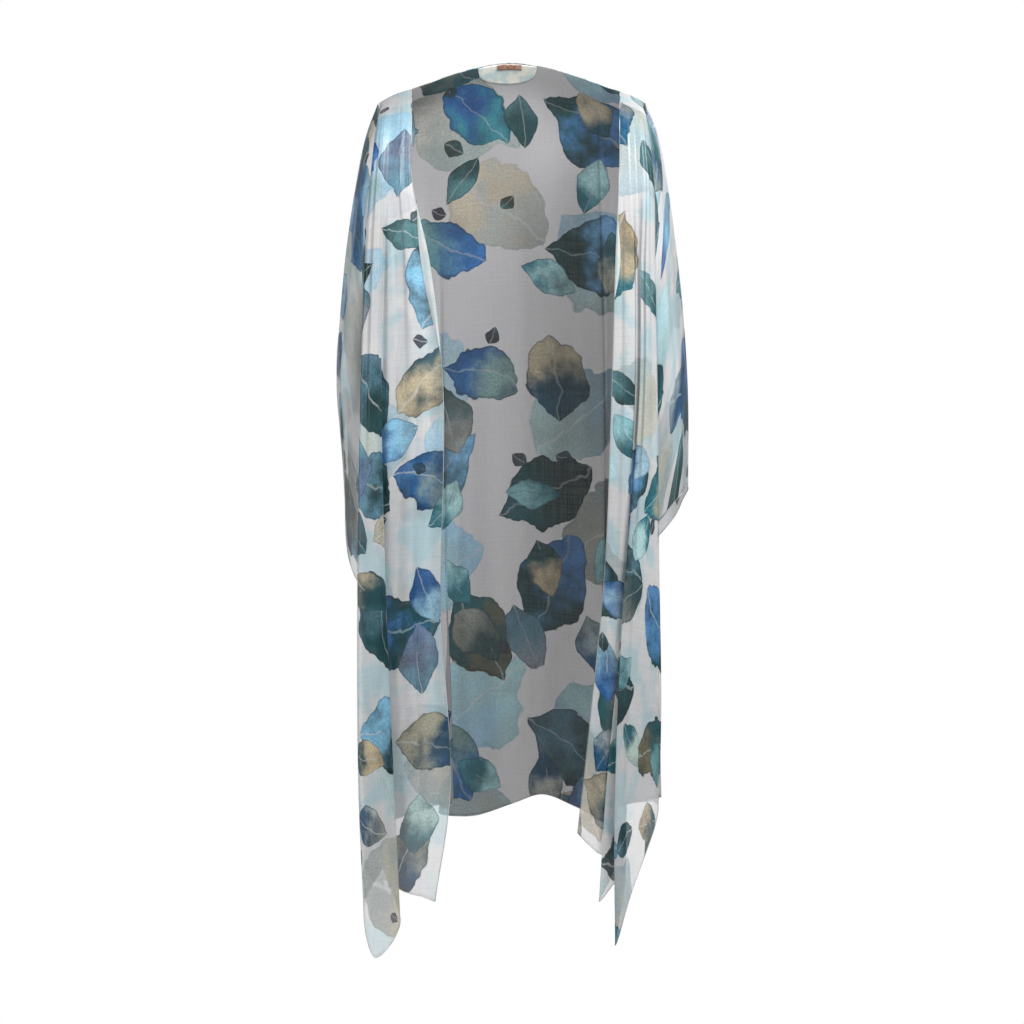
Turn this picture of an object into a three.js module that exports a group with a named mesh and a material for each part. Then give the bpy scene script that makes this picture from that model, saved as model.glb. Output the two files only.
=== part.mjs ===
// An open-front kaftan of sheer printed silk, worn and hanging: one back, two fronts, two long wide sleeves.
// Millimetres, +Z up, +X to the wearer's left, -Y to the wearer's front.
// The origin is the nape of the neck, at the height of the back neck edge, where the wearer carries it.
// Each panel is a thin wall spread between the lines of its folds, which run from the shoulder to the hem.
import * as THREE from "three";

// Driving dimensions.
const WALL = 1.5;
const SEAM_GAP = 0.3;
const SLEEVE_CLEAR = 2.6;
const FRONT_DEPTH = 112;
const BACK_DEPTH = 108;
const CHEST_DROP = 182;
const UNDERARM_DROP = 300;
const NECK_HALF_WIDTH = 150;
const NECK_FALL = 42;
const NECK_ROUND = 1.6;
const NECK_REACH = 46;
const SHOULDER_HALF_WIDTH = 200;
const SHOULDER_FALL = 62;
const SHOULDER_ROUND = 1.6;
const SIDE_HALF_WIDTH = 172;

// What lies on the inside of the back neck: how far from the middle its centre is, its half width, how far
// down the cloth it starts, and ends in its middle and at its sides.
const FACING = { middle: -7, halfWidth: 44, top: 1.2, bottom: 43, sideBottom: 8, columns: 14, rows: 6 };
const LABEL = { middle: -4, halfWidth: 18, top: 1.2, bottom: 11.5, sideBottom: 11.5, columns: 8, rows: 3 };
const PATCH_THICK = 0.8;
const PATCH_GAP = 0.5;

// The armhole seam, a leaning oval that the front, the back and the sleeve share.
const ARMHOLE = { halfDepth: 84, middle: 188, lean: 12, bow: 8 };

// Each fold line passes these stations. Below the underarm they are shares of the way down to the hem.
const STATIONS = ["shoulder", "yoke", "chest", "underarm", "waist", "hip", "calf", "hem"];
const CHEST = STATIONS.indexOf("chest");
const UNDERARM = STATIONS.indexOf("underarm");
const HEM = STATIONS.indexOf("hem");
const SHARE_DOWN = { waist: 0.2, hip: 0.55, calf: 0.82, hem: 1 };
const ROWS_BETWEEN = [3, 3, 4, 3, 4, 4, 4];
const COLUMNS_PER_FOLD = 2;
const FOLD_MITRE = 1.8;
const YOKE = { depthShare: 0.72, fallShare: 0.3, xShare: 0.5 };
const UNDERARM_SHARE = { x: 0.55, depth: 0.6 };

// Fold lines of a front, from the centre edge outwards. x is how far each lies from the body's middle, at
// the shoulder, chest, waist, hip, calf and hem. out is how far it stands before the front's own depth,
// from the chest to the hem. drop is its hem's drop below the nape.
const FRONT_RIGHT_FOLDS = [
  { fold: "centre edge", x: [151, 149, 103, 106, 92, 115], out: [0, 4, 0, -10, -18], drop: 1257 },
  { fold: "flap valley", x: [157, 158, 125, 127, 115, 133], out: [2, -6, -12, -16, -20], drop: 1250 },
  { fold: "flap crest", x: [163, 167, 148, 150, 140, 152], out: [8, 6, 4, -4, -10], drop: 1245 },
  { fold: "flap outer", x: [169, 177, 174, 173, 165, 171], out: [4, -4, -7, -11, -15], drop: 1236 },
  { fold: "hidden turn", x: [175, 186, 195, 199, 200, 198], out: [2, -5, -10, -12, -13], drop: 1195 },
  { fold: "pleat inner edge", x: [181, 193, 196, 187, 175, 167], out: [8, 5, 4, 4, 3], drop: 1290 },
  { fold: "pleat middle", x: [187, 202, 211, 208, 204, 204], out: [10, 14, 16, 18, 16], drop: 1340 },
  { fold: "outer fold", x: [192, 212, 226, 231, 229, 221], out: [-2, 2, 6, 8, 6], drop: 1262 },
];
const FRONT_LEFT_FOLDS = [
  { fold: "centre edge", x: [162, 160, 150, 138, 115, 98], out: [0, -6, -12, -16, -20], drop: 1155 },
  { fold: "flap crest", x: [167, 170, 170, 160, 140, 123], out: [4, 2, -4, -12, -20], drop: 1180 },
  { fold: "flap valley", x: [172, 178, 190, 183, 165, 152], out: [4, -6, -12, -20, -26], drop: 1202 },
  { fold: "hidden tip", x: [176, 185, 184, 165, 141, 130], out: [6, 0, -5, -10, -14], drop: 1257 },
  { fold: "hidden turn", x: [180, 190, 198, 184, 172, 168], out: [6, 2, -2, -4, -5], drop: 1215 },
  { fold: "pleat inner edge", x: [184, 196, 190, 163, 153, 154], out: [10, 8, 8, 8, 8], drop: 1322 },
  { fold: "pleat middle", x: [188, 204, 204, 190, 180, 176], out: [10, 14, 17, 18, 16], drop: 1250 },
  { fold: "outer fold", x: [193, 212, 216, 219, 222, 218], out: [-4, 0, 4, 6, 4], drop: 1112 },
];

// Fold lines of the back, from the wearer's right side to the left. out is how far each stands behind the
// back's own depth.
const BACK_FOLDS = [
  { fold: "right outer fold", x: [-193, -212, -222, -226, -226, -224], out: [0, 0, 0, 0, 0], drop: 1112 },
  { fold: "right swell", x: [-178, -186, -192, -194, -192, -190], out: [6, 14, 18, 20, 20], drop: 1138 },
  { fold: "right hollow", x: [-158, -156, -150, -146, -140, -138], out: [0, -4, -8, -12, -14], drop: 1124 },
  { fold: "right overlap", x: [-126, -122, -112, -100, -90, -88], out: [2, -2, -6, -12, -22], drop: 1110 },
  { fold: "right turn", x: [-104, -102, -98, -94, -102, -110], out: [2, 0, 0, 2, 3], drop: 1128 },
  { fold: "centre right", x: [-66, -68, -68, -66, -62, -60], out: [2, 4, 7, 10, 12], drop: 1133 },
  { fold: "centre", x: [-12, -10, -8, -5, 0, 0], out: [4, 6, 4, 0, -6], drop: 1114 },
  { fold: "centre left", x: [42, 42, 42, 44, 45, 46], out: [2, 2, -2, -5, -6], drop: 1100 },
  { fold: "left slope", x: [84, 86, 88, 90, 91, 92], out: [2, 0, 0, -2, -4], drop: 1117 },
  { fold: "left overlap", x: [122, 128, 136, 141, 142, 144], out: [0, -4, -8, -14, -20], drop: 1143 },
  { fold: "left turn", x: [140, 142, 146, 138, 126, 118], out: [2, 0, 2, 4, 4], drop: 1132 },
  { fold: "left hollow", x: [160, 164, 168, 168, 166, 164], out: [4, 8, 12, 14, 16], drop: 1118 },
  { fold: "left outer fold", x: [193, 212, 217, 219, 222, 225], out: [0, 0, 0, 0, 0], drop: 1104 },
];

// From its outer fold each panel turns in and runs back to the side seam. depth is a share of the panel's
// own depth, and toSeam is how far its hem has gone over from the outer fold's drop to the side seam's.
const SIDE_TURN = [
  { fold: "side turn", x: [196, 205, 190, 191, 191, 190], depth: [0.88, 0.77, 0.75, 0.74, 0.72], toSeam: 0.4 },
  { fold: "side run", x: [198, 197, 170, 173, 174, 175], depth: [0.81, 0.45, 0.43, 0.42, 0.4], toSeam: 0.8 },
];
const SIDE_SEAM_DROP = 1102;

// Rings of a sleeve, from the armhole to the cuff: the x and drop of its outer and its inner line, its half
// depth, how much fuller it is than an oval before and behind, and how far its front is lifted and its back
// drops from those lines.
const SLEEVE_LEFT_RINGS = [
  { ring: "cap", outer: [219, 110], inner: [182, 335], halfDepth: 85, bow: 14, lift: 0, fall: 0 },
  { ring: "upper arm", outer: [233, 185], inner: [183, 390], halfDepth: 82, bow: 9, lift: 0, fall: 0 },
  { ring: "elbow", outer: [247, 290], inner: [184, 455], halfDepth: 76, bow: 5, lift: 2, fall: 2 },
  { ring: "forearm", outer: [257, 390], inner: [185, 530], halfDepth: 70, bow: 4, lift: 5, fall: 5 },
  { ring: "wrist", outer: [263, 500], inner: [187, 615], halfDepth: 64, bow: 5, lift: 8, fall: 9 },
  { ring: "cuff", outer: [263, 637], inner: [192, 724], halfDepth: 58, bow: 7, lift: 10, fall: 14 },
];
const SLEEVE_RIGHT_RINGS = [
  { ring: "cap", outer: [219, 112], inner: [182, 335], halfDepth: 85, bow: 14, lift: 0, fall: 0 },
  { ring: "upper arm", outer: [235, 192], inner: [183, 390], halfDepth: 82, bow: 9, lift: 3, fall: 4 },
  { ring: "elbow", outer: [249, 290], inner: [184, 460], halfDepth: 76, bow: 6, lift: 8, fall: 16 },
  { ring: "forearm", outer: [257, 380], inner: [185, 540], halfDepth: 70, bow: 7, lift: 16, fall: 40 },
  { ring: "wrist", outer: [262, 465], inner: [187, 630], halfDepth: 64, bow: 12, lift: 26, fall: 80 },
  { ring: "cuff", outer: [251, 554], inner: [194, 718], halfDepth: 58, bow: 18, lift: 40, fall: 126 },
];
const ROWS_PER_RING = 2;
const SLEEVE_FOLDS = { count: 5, height: 3.2, phase: 0.9 };

const lerp = THREE.MathUtils.lerp;
const degrees = THREE.MathUtils.degToRad;
const through = (points) => new THREE.CatmullRomCurve3(points, false, "centripetal");
const last = (list) => list[list.length - 1];

// The height of the top edge: the neck edge between the fronts, and the shoulder seam beyond it.
function topHeight(x) {
  const away = Math.abs(x);
  if (away < NECK_HALF_WIDTH) return -NECK_FALL * (away / NECK_HALF_WIDTH) ** NECK_ROUND;
  const share = (away - NECK_HALF_WIDTH) / (SHOULDER_HALF_WIDTH - NECK_HALF_WIDTH);
  return -lerp(NECK_FALL, SHOULDER_FALL, share ** SHOULDER_ROUND);
}

// How far behind the shoulder line the neck edge runs.
function neckReach(x) {
  return NECK_REACH * Math.max(0, 1 - (x / NECK_HALF_WIDTH) ** 2);
}

// A point of the armhole seam: angle 0 is the shoulder and 180 the underarm. side is 1 on the left and -1 on
// the right, and face is -1 at the front and 1 at the back.
function armholePoint(side, face, angle) {
  const c = Math.cos(degrees(angle));
  const s = Math.sin(degrees(angle));
  const x = ARMHOLE.middle + ARMHOLE.lean * c + ARMHOLE.bow * s * s;
  const halfHeight = (UNDERARM_DROP - SHOULDER_FALL) / 2;
  return new THREE.Vector3(side * x, face * ARMHOLE.halfDepth * s, -UNDERARM_DROP + halfHeight * (1 + c));
}

// The armhole's angle at a place along the stations, counted in stations from the shoulder: 90 at the chest.
const armholeAngle = (place) => 90 * (place < CHEST ? place / CHEST : place - CHEST + 1);

// The places of a panel's rows, counted in stations from the shoulder.
function rowPlaces() {
  const places = [0];
  ROWS_BETWEEN.forEach((count, station) => {
    for (let k = 1; k <= count; k++) places.push(station + k / count);
  });
  return places;
}

// A fold line from its table row, as a function of the place. depths holds its distance before or behind the
// shoulder line from the chest to the hem, and topDepth that at its top.
function foldLine(xs, depths, drop, topDepth, face, side) {
  const [xShoulder, xChest, xWaist, xHip, xCalf, xHem] = xs;
  const top = topHeight(xShoulder);
  const place = (x, depth, z) => new THREE.Vector3(side * x, face * depth, z);
  const down = (station) => -lerp(UNDERARM_DROP, drop, SHARE_DOWN[station]);
  const yokeDepth = lerp(topDepth, depths[0], YOKE.depthShare);
  const curve = through([
    place(xShoulder, topDepth, top),
    place(lerp(xShoulder, xChest, YOKE.xShare), yokeDepth, lerp(top, -CHEST_DROP, YOKE.fallShare)),
    place(xChest, depths[0], -CHEST_DROP),
    place(
      lerp(xChest, xWaist, UNDERARM_SHARE.x),
      lerp(depths[0], depths[1], UNDERARM_SHARE.depth),
      -UNDERARM_DROP,
    ),
    place(xWaist, depths[1], down("waist")),
    place(xHip, depths[2], down("hip")),
    place(xCalf, depths[3], down("calf")),
    place(xHem, depths[4], down("hem")),
  ]);
  return (at) => curve.getPoint(at / HEM);
}

// The side line of a panel: the armhole seam down to the underarm, and the side seam below it.
function sideLine(side, face) {
  const underarm = armholePoint(side, face, 180);
  return (place) => {
    if (place <= UNDERARM) return armholePoint(side, face, armholeAngle(place));
    const share = (place - UNDERARM) / (HEM - UNDERARM);
    const x = lerp(underarm.x, side * SIDE_HALF_WIDTH, share);
    return new THREE.Vector3(x, 0, lerp(-UNDERARM_DROP, -SIDE_SEAM_DROP, share));
  };
}

// The lines of a panel's side: its turn behind the outer fold, its run and its seam, outermost last.
function sideLines(side, face, depth, outerDrop) {
  const turns = SIDE_TURN.map((row) => {
    const drop = lerp(outerDrop, SIDE_SEAM_DROP, row.toSeam);
    return foldLine(row.x, row.depth.map((share) => share * depth), drop, SEAM_GAP / 2, face, side);
  });
  return [...turns, sideLine(side, face)];
}

// A panel spread between its lines: at(u, place) is a point, u counted in lines and place in stations. No
// point passes the plane of the shoulder and side seams.
function spread(lines, face) {
  const crossings = new Map();
  const crossing = (place) => {
    if (!crossings.has(place)) crossings.set(place, through(lines.map((line) => line(place))));
    return crossings.get(place);
  };
  const at = (u, place) => {
    const p = crossing(place).getPoint(u / (lines.length - 1));
    p.y = face * Math.max(face * p.y, SEAM_GAP / 2);
    return p;
  };
  return { count: lines.length, at };
}

function frontPanel(folds, side) {
  const depths = (row) => row.out.map((out) => FRONT_DEPTH + out);
  const lines = folds.map((row) => foldLine(row.x, depths(row), row.drop, SEAM_GAP / 2, -1, side));
  return spread([...lines, ...sideLines(side, -1, FRONT_DEPTH, last(folds).drop)], -1);
}

function backPanel() {
  const depths = (row) => row.out.map((out) => BACK_DEPTH + out);
  const reach = (row) => neckReach(row.x[0]) + SEAM_GAP / 2;
  const lines = BACK_FOLDS.map((row) => foldLine(row.x, depths(row), row.drop, reach(row), 1, 1));
  const right = sideLines(-1, 1, BACK_DEPTH, BACK_FOLDS[0].drop).reverse();
  const left = sideLines(1, 1, BACK_DEPTH, last(BACK_FOLDS).drop);
  return spread([...right, ...lines, ...left], 1);
}

// The rows of points of a panel.
function panelRows(panel) {
  const columns = (panel.count - 1) * COLUMNS_PER_FOLD;
  return rowPlaces().map((place) =>
    Array.from({ length: columns + 1 }, (_, i) => panel.at(i / COLUMNS_PER_FOLD, place)),
  );
}

// The way across the wall at each point of a grid of rows, longer at a fold so that the cloth keeps its
// thickness there. Along a seam at y = 0 it lies in the seam's plane, so that the two sides stay apart.
function wallDirections(rows, closed) {
  const onSeam = (p) => Math.abs(p.y) < SEAM_GAP;
  return rows.map((row, j) =>
    row.map((p, i) => {
      const n = row.length;
      const before = closed ? row[(i + n - 1) % n] : row[Math.max(i - 1, 0)];
      const after = closed ? row[(i + 1) % n] : row[Math.min(i + 1, n - 1)];
      const down = rows[Math.min(j + 1, rows.length - 1)][i].clone().sub(rows[Math.max(j - 1, 0)][i]);
      const faces = [p.clone().sub(before), after.clone().sub(p)]
        .filter((side) => side.lengthSq() > 0)
        .map((side) => side.cross(down).normalize());
      const way = faces.length === 1 ? faces[0] : faces[0].add(faces[1]).multiplyScalar(0.5);
      if (!closed && onSeam(p)) return way.setY(0).normalize();
      return way.multiplyScalar(Math.min(1 / way.lengthSq(), FOLD_MITRE / way.length()));
    }),
  );
}

// A closed wall of even thickness about a grid of points. closed joins the last column to the first.
function wall(rows, thickness, closed = false) {
  const directions = wallDirections(rows, closed);
  const columns = rows[0].length;
  const layer = rows.length * columns;
  const position = [];
  for (const offset of [thickness / 2, -thickness / 2])
    rows.forEach((row, j) =>
      row.forEach((p, i) => position.push(...p.clone().addScaledVector(directions[j][i], offset).toArray())),
    );
  const index = [];
  const quad = (a, b, c, d) => index.push(a, b, c, a, c, d);
  const steps = closed ? columns : columns - 1;
  const id = (j, i, side) => side * layer + j * columns + (i % columns);
  for (let j = 0; j < rows.length - 1; j++)
    for (let i = 0; i < steps; i++) {
      quad(id(j, i, 0), id(j, i + 1, 0), id(j + 1, i + 1, 0), id(j + 1, i, 0));
      index.push(id(j, i, 1), id(j + 1, i + 1, 1), id(j, i + 1, 1));
      index.push(id(j, i, 1), id(j + 1, i, 1), id(j + 1, i + 1, 1));
    }
  const bottom = rows.length - 1;
  for (let i = 0; i < steps; i++) {
    quad(id(0, i, 0), id(0, i, 1), id(0, i + 1, 1), id(0, i + 1, 0));
    quad(id(bottom, i, 0), id(bottom, i + 1, 0), id(bottom, i + 1, 1), id(bottom, i, 1));
  }
  if (!closed)
    for (let j = 0; j < bottom; j++) {
      quad(id(j, 0, 0), id(j + 1, 0, 0), id(j + 1, 0, 1), id(j, 0, 1));
      quad(id(j, steps, 0), id(j, steps, 1), id(j + 1, steps, 1), id(j + 1, steps, 0));
    }
  return outward(position, index);
}

// A geometry with its faces pointing out, whichever way round the grid was.
function outward(position, index) {
  let volume = 0;
  const at = (k) => new THREE.Vector3().fromArray(position, 3 * k);
  for (let k = 0; k < index.length; k += 3)
    volume += at(index[k]).dot(at(index[k + 1]).cross(at(index[k + 2])));
  if (volume < 0)
    for (let k = 0; k < index.length; k += 3) [index[k + 1], index[k + 2]] = [index[k + 2], index[k + 1]];
  const geometry = new THREE.BufferGeometry();
  geometry.setAttribute("position", new THREE.Float32BufferAttribute(position, 3));
  geometry.setIndex(index);
  geometry.computeVertexNormals();
  return geometry;
}

// A sleeve: rings from the armhole seam to the cuff, with a few soft folds that deepen downwards.
function sleeveRows(rings, side) {
  const half = rowPlaces().filter((place) => place <= UNDERARM).map(armholeAngle);
  const angles = [...half, ...half.slice(1, -1).reverse().map((angle) => 360 - angle)];
  const strand = (angle) => {
    const c = Math.cos(degrees(angle));
    const s = Math.sin(degrees(angle));
    const points = rings.map((row, k) => {
      const [xOuter, dropOuter] = row.outer;
      const [xInner, dropInner] = row.inner;
      const outerShare = (1 + c) / 2;
      const wave = Math.cos(SLEEVE_FOLDS.count * degrees(angle) + SLEEVE_FOLDS.phase);
      const fold = (SLEEVE_FOLDS.height * wave * (k + 1)) / rings.length;
      const x = lerp(xInner, xOuter, outerShare) + row.bow * s * s + (fold * c) / 2;
      const y = -(row.halfDepth + fold) * s;
      const raised = (s > 0 ? row.lift : row.fall) * s;
      return new THREE.Vector3(side * x, y, -lerp(dropInner, dropOuter, outerShare) + raised);
    });
    const seam = angle <= 180 ? armholePoint(side, -1, angle) : armholePoint(side, 1, 360 - angle);
    seam.x += side * SLEEVE_CLEAR;
    return through([seam, ...points]);
  };
  const strands = angles.map(strand);
  const count = rings.length * ROWS_PER_RING;
  return Array.from({ length: count + 1 }, (_, j) => strands.map((line) => line.getPoint(j / count)));
}

// A point on a grid of rows with the wall's direction there: u counted in columns and v in rows.
function onGrid(rows, directions, u, v) {
  const i = Math.min(Math.floor(u), rows[0].length - 2);
  const j = Math.min(Math.floor(v), rows.length - 2);
  const blend = (grid) => {
    const upper = grid[j][i].clone().lerp(grid[j][i + 1], u - i);
    return upper.lerp(grid[j + 1][i].clone().lerp(grid[j + 1][i + 1], u - i), v - j);
  };
  return { point: blend(rows), direction: blend(directions).normalize() };
}

// A patch on the inside of the back neck, such as the half-moon facing: the back's points, moved in by lift.
function patchRows(rows, patch, lift) {
  const directions = wallDirections(rows, false);
  const columnAt = (x) => {
    const i = rows[0].findIndex((p, k) => p.x <= x && rows[0][k + 1].x > x);
    return i + (x - rows[0][i].x) / (rows[0][i + 1].x - rows[0][i].x);
  };
  return Array.from({ length: patch.rows + 1 }, (_, j) =>
    Array.from({ length: patch.columns + 1 }, (_, i) => {
      const aside = (2 * i) / patch.columns - 1;
      const bottom = lerp(patch.sideBottom, patch.bottom, Math.sqrt(1 - aside * aside));
      const u = columnAt(patch.middle + aside * patch.halfWidth);
      const rowLength = onGrid(rows, directions, u, 0).point.distanceTo(onGrid(rows, directions, u, 1).point);
      const v = lerp(patch.top, bottom, j / patch.rows) / rowLength;
      const { point, direction } = onGrid(rows, directions, u, v);
      return point.addScaledVector(direction, -Math.sign(direction.y) * lift);
    }),
  );
}

const silk = new THREE.MeshStandardMaterial({ color: 0xe4e2e4, roughness: 0.42, metalness: 0 });
const cream = new THREE.MeshStandardMaterial({ color: 0xdedccf, roughness: 0.5, metalness: 0 });
const tab = new THREE.MeshStandardMaterial({ color: 0xa8745c, roughness: 0.6, metalness: 0 });

function piece(name, geometry, material) {
  const mesh = new THREE.Mesh(geometry, material.clone());
  mesh.name = name;
  return mesh;
}

const backRows = panelRows(backPanel());
const facingLift = (WALL + PATCH_THICK) / 2 + PATCH_GAP;
const labelLift = facingLift + PATCH_THICK + PATCH_GAP;
const kaftan = new THREE.Group();
kaftan.add(
  piece("back", wall(backRows, WALL), silk),
  piece("front_right", wall(panelRows(frontPanel(FRONT_RIGHT_FOLDS, -1)), WALL), silk),
  piece("front_left", wall(panelRows(frontPanel(FRONT_LEFT_FOLDS, 1)), WALL), silk),
  piece("sleeve_right", wall(sleeveRows(SLEEVE_RIGHT_RINGS, -1), WALL, true), silk),
  piece("sleeve_left", wall(sleeveRows(SLEEVE_LEFT_RINGS, 1), WALL, true), silk),
  piece("neck_facing", wall(patchRows(backRows, FACING, facingLift), PATCH_THICK), cream),
  piece("neck_label", wall(patchRows(backRows, LABEL, labelLift), PATCH_THICK), tab),
);

export default kaftan;
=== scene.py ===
"""An open-front kaftan of sheer printed silk, hanging as worn.

Metres, +Z up, the wearer's front towards -Y.
"""
import math

import bmesh
import bpy
import numpy as np
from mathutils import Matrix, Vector


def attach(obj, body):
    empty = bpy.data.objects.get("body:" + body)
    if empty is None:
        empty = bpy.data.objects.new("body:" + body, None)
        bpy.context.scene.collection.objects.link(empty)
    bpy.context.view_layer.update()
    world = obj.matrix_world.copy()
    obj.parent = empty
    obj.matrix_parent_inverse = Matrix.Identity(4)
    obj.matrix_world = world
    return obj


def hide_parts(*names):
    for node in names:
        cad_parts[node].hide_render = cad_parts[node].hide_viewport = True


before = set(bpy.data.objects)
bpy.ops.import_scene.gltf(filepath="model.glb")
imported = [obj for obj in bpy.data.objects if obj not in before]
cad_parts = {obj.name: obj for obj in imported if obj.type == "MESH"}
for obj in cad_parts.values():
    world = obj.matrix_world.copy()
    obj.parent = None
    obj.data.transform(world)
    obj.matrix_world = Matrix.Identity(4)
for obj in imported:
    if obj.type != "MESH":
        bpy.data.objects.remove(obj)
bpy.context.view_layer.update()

# One millimetre of the scene's metres.
MM = 0.001

# Driving dimensions, in millimetres. NECK_ROUND and SHOULDER_ROUND are powers that bend the top edge, and
# HEM_SIDES is a count.
SEAM_GAP = 0.3
SLEEVE_CLEAR = 0.9
FRONT_DEPTH = 112
BACK_DEPTH = 108
CHEST_DROP = 182
UNDERARM_DROP = 300
NECK_HALF_WIDTH = 150
NECK_FALL = 42
NECK_ROUND = 1.6
NECK_REACH = 46
SHOULDER_HALF_WIDTH = 200
SHOULDER_FALL = 62
SHOULDER_ROUND = 1.6
SIDE_HALF_WIDTH = 172
SIDE_SEAM_DROP = 1102
SILK_THICK = 0.4
HEM_RADIUS = 0.65
HEM_SIDES = 6
NECK_HEM_PAST = 2
PATCH_THICK = 0.8

# What lies on the inside of the back neck: how far from the middle its centre is, its half width, how far
# down the cloth it starts, and ends in its middle and at its sides, in millimetres.
FACING = {
    "middle": -7, "half_width": 44, "top": 1.2, "bottom": 43, "side_bottom": 8,
    "columns": 40, "rows": 16,
}
LABEL = {
    "middle": -4, "half_width": 18, "top": 1.2, "bottom": 11.5, "side_bottom": 11.5,
    "columns": 16, "rows": 6,
}

# The stretches of the front edges that have turned over: from which station to which each runs, its least and
# its greatest width, where the widest place lies and how far it stands out, in millimetres.
TURNED_EDGES = {
    "front_right": {"start": 2.35, "end": 3.75, "least": 0.6, "width": 13, "skew": 1.1, "bulge": 1.6},
    "front_left": {"start": 2.4, "end": 3.35, "least": 0.6, "width": 7, "skew": 1.5, "bulge": 1.2},
}
TURNED_ROWS = 60
TURNED_COLUMNS = 9

# The armhole seam, a leaning oval that the front, the back and the sleeve share.
ARMHOLE = {"half_depth": 84, "middle": 188, "lean": 12, "bow": 8}

# Each fold line passes these stations. Below the underarm they are shares of the way down to the hem.
STATIONS = ["shoulder", "yoke", "chest", "underarm", "waist", "hip", "calf", "hem"]
CHEST = STATIONS.index("chest")
UNDERARM = STATIONS.index("underarm")
HEM = STATIONS.index("hem")
SHARE_DOWN = {"waist": 0.2, "hip": 0.55, "calf": 0.82, "hem": 1}

# The yoke lies between the shoulder and the chest, and the underarm between the chest and the waist, at these
# shares of the way.
YOKE = {"depth_share": 0.72, "fall_share": 0.3, "x_share": 0.5}
UNDERARM_SHARE = {"x": 0.55, "depth": 0.6}

# Fold lines: name, x at the shoulder, chest, waist, hip, calf and hem, how far each stands out from the
# panel's depth from the chest to the hem, and its hem's drop below the nape.
FRONT_RIGHT_FOLDS = [
    ("centre edge", [151, 149, 103, 106, 92, 115], [0, 4, 0, -10, -18], 1257),
    ("flap valley", [157, 158, 125, 127, 115, 133], [2, -6, -12, -16, -20], 1250),
    ("flap crest", [163, 167, 148, 150, 140, 152], [8, 6, 4, -4, -10], 1245),
    ("flap outer", [169, 177, 174, 173, 165, 171], [4, -4, -7, -11, -15], 1236),
    ("hidden turn", [175, 186, 195, 199, 200, 198], [2, -5, -10, -12, -13], 1195),
    ("pleat inner edge", [181, 193, 196, 187, 175, 167], [8, 5, 4, 4, 3], 1290),
    ("pleat middle", [187, 202, 211, 208, 204, 204], [10, 14, 16, 18, 16], 1340),
    ("outer fold", [192, 212, 226, 231, 229, 221], [-2, 2, 6, 8, 6], 1262),
]
FRONT_LEFT_FOLDS = [
    ("centre edge", [162, 160, 150, 138, 115, 98], [0, -6, -12, -16, -20], 1155),
    ("flap crest", [167, 170, 170, 160, 140, 123], [4, 2, -4, -12, -20], 1180),
    ("flap valley", [172, 178, 190, 183, 165, 152], [4, -6, -12, -20, -26], 1202),
    ("hidden tip", [176, 185, 184, 165, 141, 130], [6, 0, -5, -10, -14], 1257),
    ("hidden turn", [180, 190, 198, 184, 172, 168], [6, 2, -2, -4, -5], 1215),
    ("pleat inner edge", [184, 196, 190, 163, 153, 154], [10, 8, 8, 8, 8], 1322),
    ("pleat middle", [188, 204, 204, 190, 180, 176], [10, 14, 17, 18, 16], 1250),
    ("outer fold", [193, 212, 216, 219, 222, 218], [-4, 0, 4, 6, 4], 1112),
]
BACK_FOLDS = [
    ("right outer fold", [-193, -212, -222, -226, -226, -224], [0, 0, 0, 0, 0], 1112),
    ("right swell", [-178, -186, -192, -194, -192, -190], [6, 14, 18, 20, 20], 1138),
    ("right hollow", [-158, -156, -150, -146, -140, -138], [0, -4, -8, -12, -14], 1124),
    ("right overlap crest", [-126, -122, -112, -100, -90, -88], [2, -2, -6, -12, -22], 1110),
    ("right overlap turn", [-104, -102, -98, -94, -102, -110], [2, 0, 0, 2, 3], 1128),
    ("centre right", [-66, -68, -68, -66, -62, -60], [2, 4, 7, 10, 12], 1133),
    ("centre", [-12, -10, -8, -5, 0, 0], [4, 6, 4, 0, -6], 1114),
    ("centre left", [42, 42, 42, 44, 45, 46], [2, 2, -2, -5, -6], 1100),
    ("left slope", [84, 86, 88, 90, 91, 92], [2, 0, 0, -2, -4], 1117),
    ("left overlap crest", [122, 128, 136, 141, 142, 144], [0, -4, -8, -14, -20], 1143),
    ("left overlap turn", [140, 142, 146, 138, 126, 118], [2, 0, 2, 4, 4], 1132),
    ("left hollow", [160, 164, 168, 168, 166, 164], [4, 8, 12, 14, 16], 1118),
    ("left outer fold", [193, 212, 217, 219, 222, 225], [0, 0, 0, 0, 0], 1104),
]

# From its outer fold each panel turns in and runs back to the side seam: name, x, shares of the panel's
# depth, and how far its hem has gone over from the outer fold's drop to the side seam's.
SIDE_TURN = [
    ("side turn", [196, 205, 190, 191, 191, 190], [0.88, 0.77, 0.75, 0.74, 0.72], 0.4),
    ("side run", [198, 197, 170, 173, 174, 175], [0.81, 0.45, 0.43, 0.42, 0.4], 0.8),
]

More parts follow.
